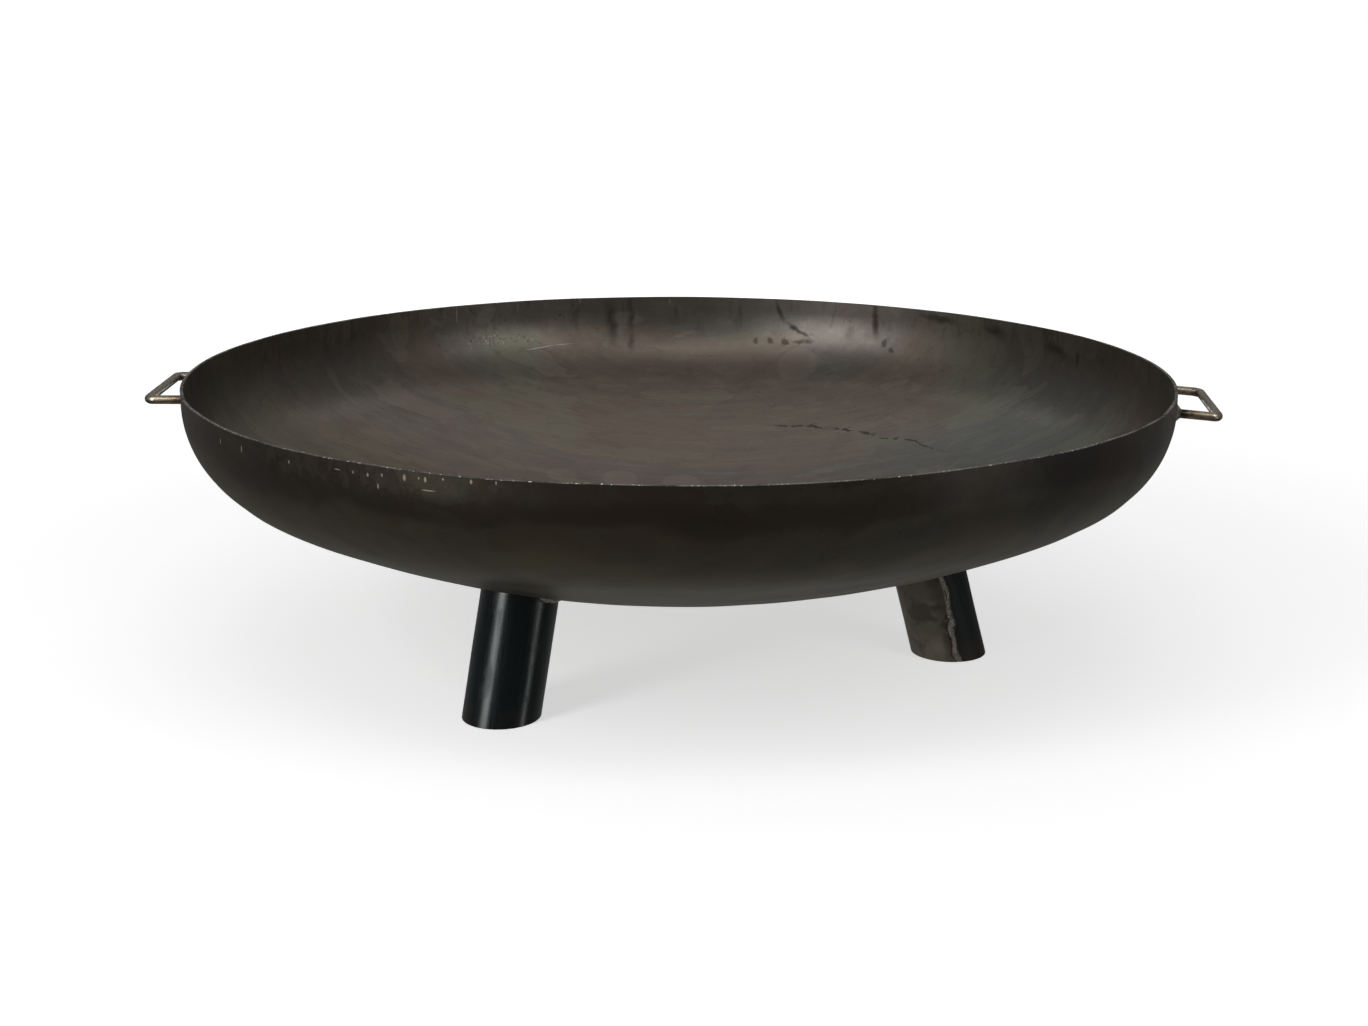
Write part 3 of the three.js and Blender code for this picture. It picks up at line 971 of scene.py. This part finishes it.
def make_stage():
    """A plain pale floor. It glows a little, as a light table does, so that shadows on it stay soft."""
    columns = 128
    points = [(0, 0, 0)]
    for j in range(columns):
        turn = 2 * math.pi * j / columns
        points.append((FLOOR_RADIUS * math.cos(turn), FLOOR_RADIUS * math.sin(turn), 0))
    faces = [(0, 1 + j, 1 + (j + 1) % columns) for j in range(columns)]
    mesh = bpy.data.meshes.new("studio_floor")
    mesh.from_pydata(points, [], faces)
    floor = bpy.data.objects.new("studio_floor", mesh)
    bpy.context.scene.collection.objects.link(floor)
    paint = bpy.data.materials.new("pale_floor")
    paint.use_nodes = True
    surface = paint.node_tree.nodes["Principled BSDF"]
    surface.inputs["Base Color"].default_value = (0.8, 0.8, 0.8, 1)
    surface.inputs["Roughness"].default_value = 1.0
    surface.inputs["Specular IOR Level"].default_value = 0.0
    surface.inputs["Emission Color"].default_value = (1, 1, 1, 1)
    nodes, links = paint.node_tree.nodes, paint.node_tree.links
    place = nodes.new("ShaderNodeTexCoord")
    far = nodes.new("ShaderNodeVectorMath")
    far.operation = "LENGTH"
    links.new(place.outputs["Object"], far.inputs[0])
    glow = nodes.new("ShaderNodeMapRange")
    glow.interpolation_type = "SMOOTHSTEP"
    links.new(far.outputs["Value"], glow.inputs["Value"])
    glow.inputs["From Min"].default_value = GLOW_START
    glow.inputs["From Max"].default_value = GLOW_END
    glow.inputs["To Min"].default_value = FLOOR_GLOW
    glow.inputs["To Max"].default_value = 1.0
    links.new(glow.outputs[0], surface.inputs["Emission Strength"])
    mesh.materials.append(paint)
    floor.visible_diffuse = False
    floor.visible_glossy = False
    floor.visible_shadow = False


def area_light(name, azimuth, elevation, distance, width, height, radiance):
    """A softbox facing the bowl, placed by its direction from it, in degrees."""
    turn, rise = math.radians(azimuth), math.radians(elevation)
    away = Vector((math.cos(turn) * math.cos(rise), math.sin(turn) * math.cos(rise), math.sin(rise)))
    light = bpy.data.lights.new(name, "AREA")
    light.shape = "RECTANGLE"
    light.size = width
    light.size_y = height
    light.energy = radiance * math.pi * width * height
    lamp = bpy.data.objects.new(name, light)
    lamp.location = AIM + away * distance
    lamp.rotation_euler = (-away).to_track_quat("-Z", "Y").to_euler()
    bpy.context.scene.collection.objects.link(lamp)


def make_surround():
    """A white surround to look at, which lights the bowl as a dim room with a paler back does."""
    world = bpy.data.worlds.new("studio")
    bpy.context.scene.world = world
    world.use_nodes = True
    tree = world.node_tree
    background = tree.nodes["Background"]

    def mapped(source, low, high, to_low, to_high):
        made = tree.nodes.new("ShaderNodeMapRange")
        made.interpolation_type = "SMOOTHSTEP"
        tree.links.new(source, made.inputs["Value"])
        for key, value in zip(("From Min", "From Max"), (low, high)):
            made.inputs[key].default_value = value
        for key, value in zip(("To Min", "To Max"), (to_low, to_high)):
            if isinstance(value, bpy.types.NodeSocket):
                tree.links.new(value, made.inputs[key])
            else:
                made.inputs[key].default_value = value
        return made.outputs[0]

    direction = tree.nodes.new("ShaderNodeTexCoord")
    split = tree.nodes.new("ShaderNodeSeparateXYZ")
    tree.links.new(direction.outputs["Generated"], split.inputs[0])
    upper = mapped(split.outputs["Y"], -0.2, 0.8, ROOM_FRONT, ROOM_BACK)
    lower = mapped(split.outputs["Y"], -0.2, 0.8, ROOM_FRONT, ROOM_BACK_LOW)
    room = mapped(split.outputs["Z"], -0.15, 0.05, lower, upper)
    room = mapped(split.outputs["Z"], 0.2, 0.6, room, ROOM_TOP)
    room = mapped(split.outputs["Z"], -0.35, -0.9, room, ROOM_FLOOR)
    ray = tree.nodes.new("ShaderNodeLightPath")
    seen = mapped(ray.outputs["Is Camera Ray"], 0.0, 1.0, room, 1.0)
    tree.links.new(seen, background.inputs["Strength"])
    background.inputs["Color"].default_value = (1, 1, 1, 1)


def make_lights():
    """Softboxes all round, a low strip to the right, and a soft light overhead."""
    bpy.context.scene.view_settings.view_transform = "Standard"
    make_surround()
    for name, box in SOFTBOXES.items():
        area_light(name, *box)


def make_camera():
    """The photographer's view: a little above the rim, nearly square to the handles."""
    camera = bpy.data.cameras.new("camera")
    camera.lens = CAMERA_LENS
    camera.sensor_width = 36
    view = bpy.data.objects.new("camera", camera)
    view.location = CAMERA_PLACE
    facing = Euler((math.pi / 2 - CAMERA_DOWN, 0, CAMERA_HEADING)).to_matrix()
    view.rotation_euler = (facing @ Matrix.Rotation(CAMERA_ROLL, 3, "Z")).to_euler()
    bpy.context.scene.collection.objects.link(view)
    bpy.context.scene.camera = view


# ---------------------------------------------------------------- assembly

make_camera()
make_lights()
make_stage()

make_bowl(outside_skin(), inside_skin(), cut_edge())
weld = weld_skin()
leg_skins = [leg_skin(index, finish) for index, finish in enumerate(LEG_FINISHES)]
for index, skin in enumerate(leg_skins):
    make_leg(index, skin)
    for number in range(len(STITCHES)):
        make_stitch(index, number, weld)
bar_skin = handle_skin()
for side, handle in HANDLES.items():
    make_handle(side, handle, bar_skin)
    for arm in (-GRIP_LENGTH / 2, GRIP_LENGTH / 2):
        make_root_weld(side, handle, arm, weld)
